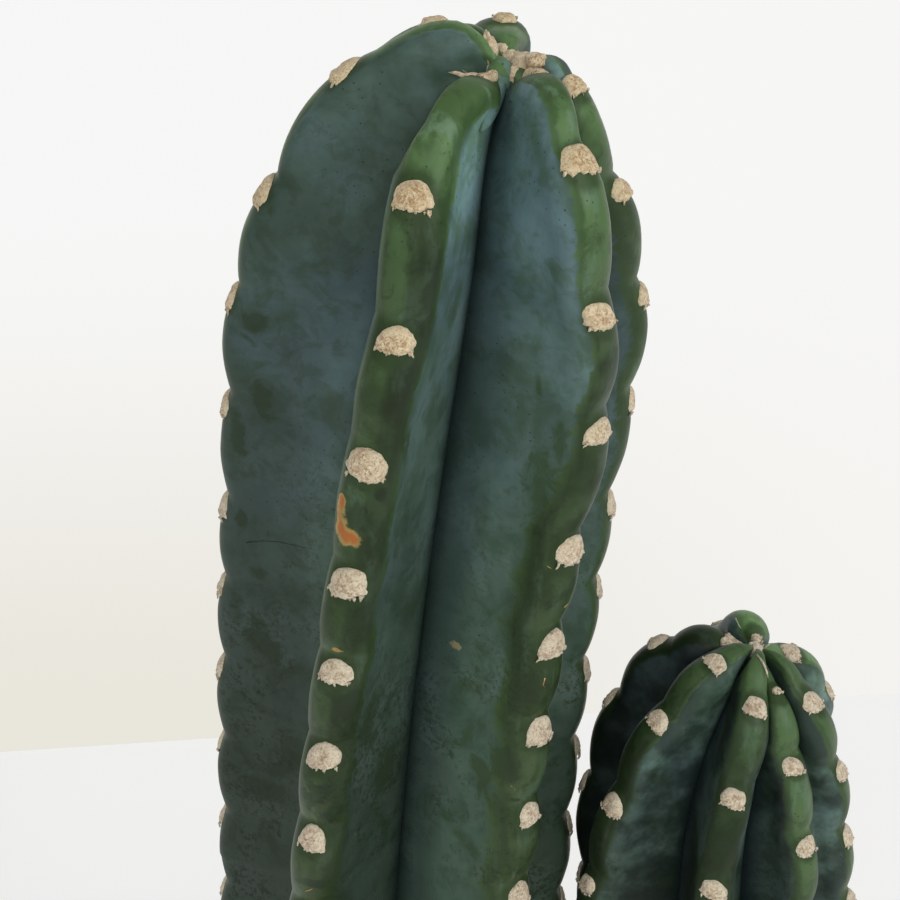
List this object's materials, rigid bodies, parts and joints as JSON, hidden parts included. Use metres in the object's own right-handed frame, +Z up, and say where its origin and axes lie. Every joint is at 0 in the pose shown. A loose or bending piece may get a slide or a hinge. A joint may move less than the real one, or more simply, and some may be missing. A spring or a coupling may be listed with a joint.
{
  "type": "potted columnar cactus",
  "caption": "Columnar cactus with deep scalloped ribs and felted areoles, a tall and a short stem, in a round clay pot.",
  "frame": {"origin": "on the ground, under the middle of the pot", "axes": "+Z up along the pot's axis, -Y towards the side that the picture shows, +X towards the short stem"},
  "size_m": [0.264, 0.264, 0.6174],
  "materials": {
    "cactus_skin": "satin",
    "soil": "matte",
    "pot_clay": "matte"
  },
  "bodies": {
    "root": {"main_column": "cactus_skin", "side_column": "cactus_skin", "soil": "soil", "pot": "pot_clay"}
  },
  "joints": []
}
